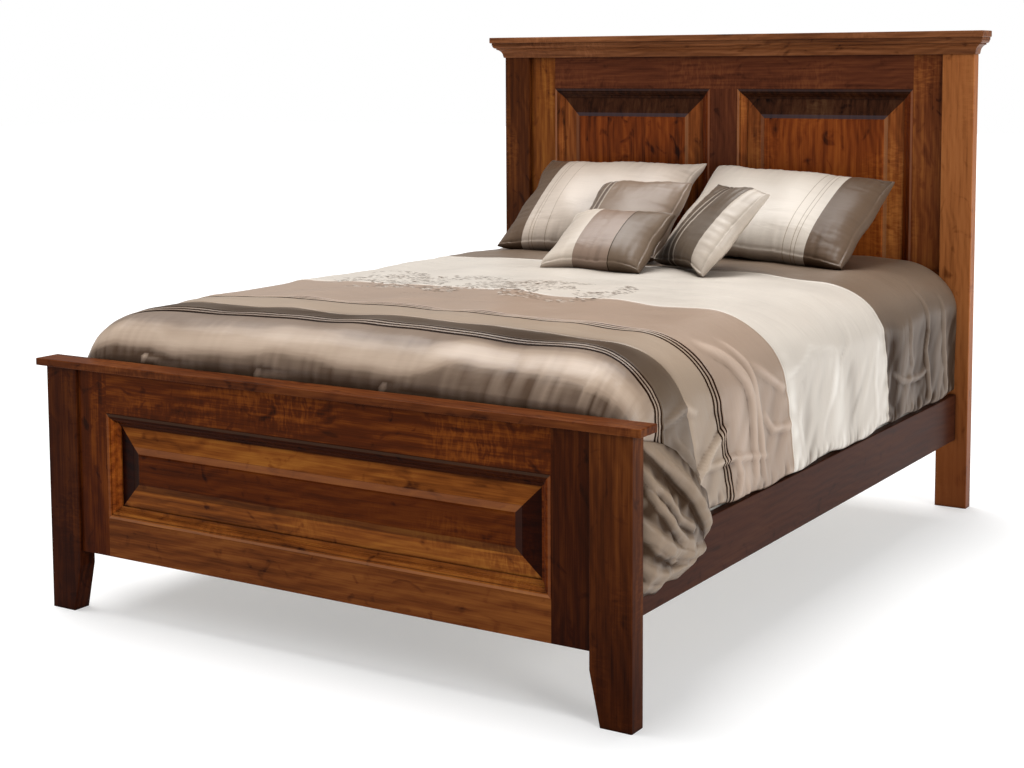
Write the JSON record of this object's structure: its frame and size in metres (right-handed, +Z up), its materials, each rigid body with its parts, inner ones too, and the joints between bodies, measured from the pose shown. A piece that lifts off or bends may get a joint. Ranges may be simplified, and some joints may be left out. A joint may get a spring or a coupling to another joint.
{
  "type": "panel bed",
  "caption": "Queen-size wooden panel bed: tall framed-panel headboard under a crown moulding, low panelled footboard, hooked side rails, slats, mattress, comforter and pillows.",
  "frame": {"origin": "on the floor, under the middle of the whole bed", "axes": "+Z up; +Y along the bed from the footboard to the headboard; +X to the right as seen from the foot"},
  "size_m": [1.726, 2.189, 1.446],
  "materials": {
    "stained_maple": "dark reddish-brown stain under satin clear lacquer, figured brown maple",
    "stained_maple_rails": "the same stain, long straight grain along the side rails",
    "hidden_lumber": "unfinished pale softwood with a planed face",
    "dowel_birch": "plain turned birch",
    "zinc_steel": "zinc-plated pressed steel",
    "screw_steel": "yellow zinc-plated steel",
    "leveller_black": "moulded black nylon foot on a zinc stem",
    "foundation_ticking": "woven ticking with piped edges",
    "mattress_ticking": "quilted knit ticking with taped edges",
    "comforter_fabric": "satin weave in bands of greige, taupe, tan, rose and cream",
    "sham_fabric": "cream satin with a taupe band at each end",
    "accent_taupe": "taupe satin with paired stripes",
    "accent_banded": "satin in cream, mauve and olive-grey bands",
    "accent_grey": "dark grey-taupe satin with pale paired stripes and a cream band"
  },
  "bodies": {
    "bed_frame": {"footboard_leg_right": "stained_maple", "footboard_leg_left": "stained_maple", "footboard_stile_right": "stained_maple", "footboard_stile_left": "stained_maple", "footboard_top_rail": "stained_maple", "footboard_bottom_rail": "stained_maple", "footboard_panel": "stained_maple", "footboard_moulding": "stained_maple", "footboard_cap": "stained_maple", "headboard_post_right": "stained_maple", "headboard_post_left": "stained_maple", "headboard_stile_right": "stained_maple", "headboard_stile_left": "stained_maple", "headboard_top_rail": "stained_maple", "headboard_bottom_rail": "stained_maple", "headboard_muntin": "stained_maple", "headboard_panel_left": "stained_maple", "headboard_panel_right": "stained_maple", "headboard_moulding_left": "stained_maple", "headboard_moulding_right": "stained_maple", "crown_core": "stained_maple", "crown_moulding": "stained_maple", "crown_board": "stained_maple", "side_rail_right": "stained_maple_rails", "side_rail_left": "stained_maple_rails", "rail_cleats": "hidden_lumber", "slat_1": "hidden_lumber", "slat_2": "hidden_lumber", "slat_3": "hidden_lumber", "slat_4": "hidden_lumber", "slat_5": "hidden_lumber", "centre_leg_1": "hidden_lumber", "centre_leg_2": "hidden_lumber", "centre_leg_3": "hidden_lumber", "footboard_dowels": "dowel_birch", "headboard_dowels": "dowel_birch", "rail_hook_plates": "zinc_steel", "post_slot_plates": "zinc_steel", "leveller_inserts": "zinc_steel", "cleat_screws": "screw_steel", "plate_screws": "screw_steel", "slat_screws": "screw_steel", "centre_leg_screws": "screw_steel"},
    "foundation": {"foundation": "foundation_ticking"},
    "mattress": {"mattress": "mattress_ticking"},
    "comforter": {"comforter": "comforter_fabric"},
    "sham_left": {"sham_left": "sham_fabric"},
    "sham_right": {"sham_right": "sham_fabric"},
    "accent_pillow_back": {"accent_pillow_back": "accent_taupe"},
    "accent_pillow_turned": {"accent_pillow_turned": "accent_grey"},
    "accent_pillow_front": {"accent_pillow_front": "accent_banded"},
    "leveller_1": {"leveller_1": "leveller_black"},
    "leveller_2": {"leveller_2": "leveller_black"},
    "leveller_3": {"leveller_3": "leveller_black"}
  },
  "joints": [
    {"name": "foundation_lift", "type": "slide", "parent": "bed_frame", "child": "foundation", "axis": [0, 0, 1], "range_m": [0, 0.1]},
    {"name": "mattress_lift", "type": "slide", "parent": "foundation", "child": "mattress", "axis": [0, 0, 1], "range_m": [0, 0.1]},
    {"name": "comforter_lift", "type": "slide", "parent": "mattress", "child": "comforter", "axis": [0, 0, 1], "range_m": [0, 0.11]},
    {"name": "sham_right_lift_off", "type": "slide", "parent": "comforter", "child": "sham_right", "axis": [0, -0.6, 0.8], "range_m": [0, 0.25]},
    {"name": "sham_left_lift_off", "type": "slide", "parent": "sham_right", "child": "sham_left", "axis": [0, -0.6, 0.8], "range_m": [0, 0.25]},
    {"name": "accent_back_lift_off", "type": "slide", "parent": "sham_left", "child": "accent_pillow_back", "axis": [0, -0.6, 0.8], "range_m": [0, 0.25]},
    {"name": "accent_turned_lift_off", "type": "slide", "parent": "accent_pillow_back", "child": "accent_pillow_turned", "axis": [0, -0.6, 0.8], "range_m": [0, 0.25]},
    {"name": "accent_front_lift_off", "type": "slide", "parent": "accent_pillow_turned", "child": "accent_pillow_front", "axis": [0, -0.6, 0.8], "range_m": [0, 0.25]},
    {"name": "leveller_1_screw_out", "type": "slide", "parent": "bed_frame", "child": "leveller_1", "axis": [0, 0, -1], "range_m": [0, 0.015]},
    {"name": "leveller_2_screw_out", "type": "slide", "parent": "bed_frame", "child": "leveller_2", "axis": [0, 0, -1], "range_m": [0, 0.015]},
    {"name": "leveller_3_screw_out", "type": "slide", "parent": "bed_frame", "child": "leveller_3", "axis": [0, 0, -1], "range_m": [0, 0.015]}
  ]
}
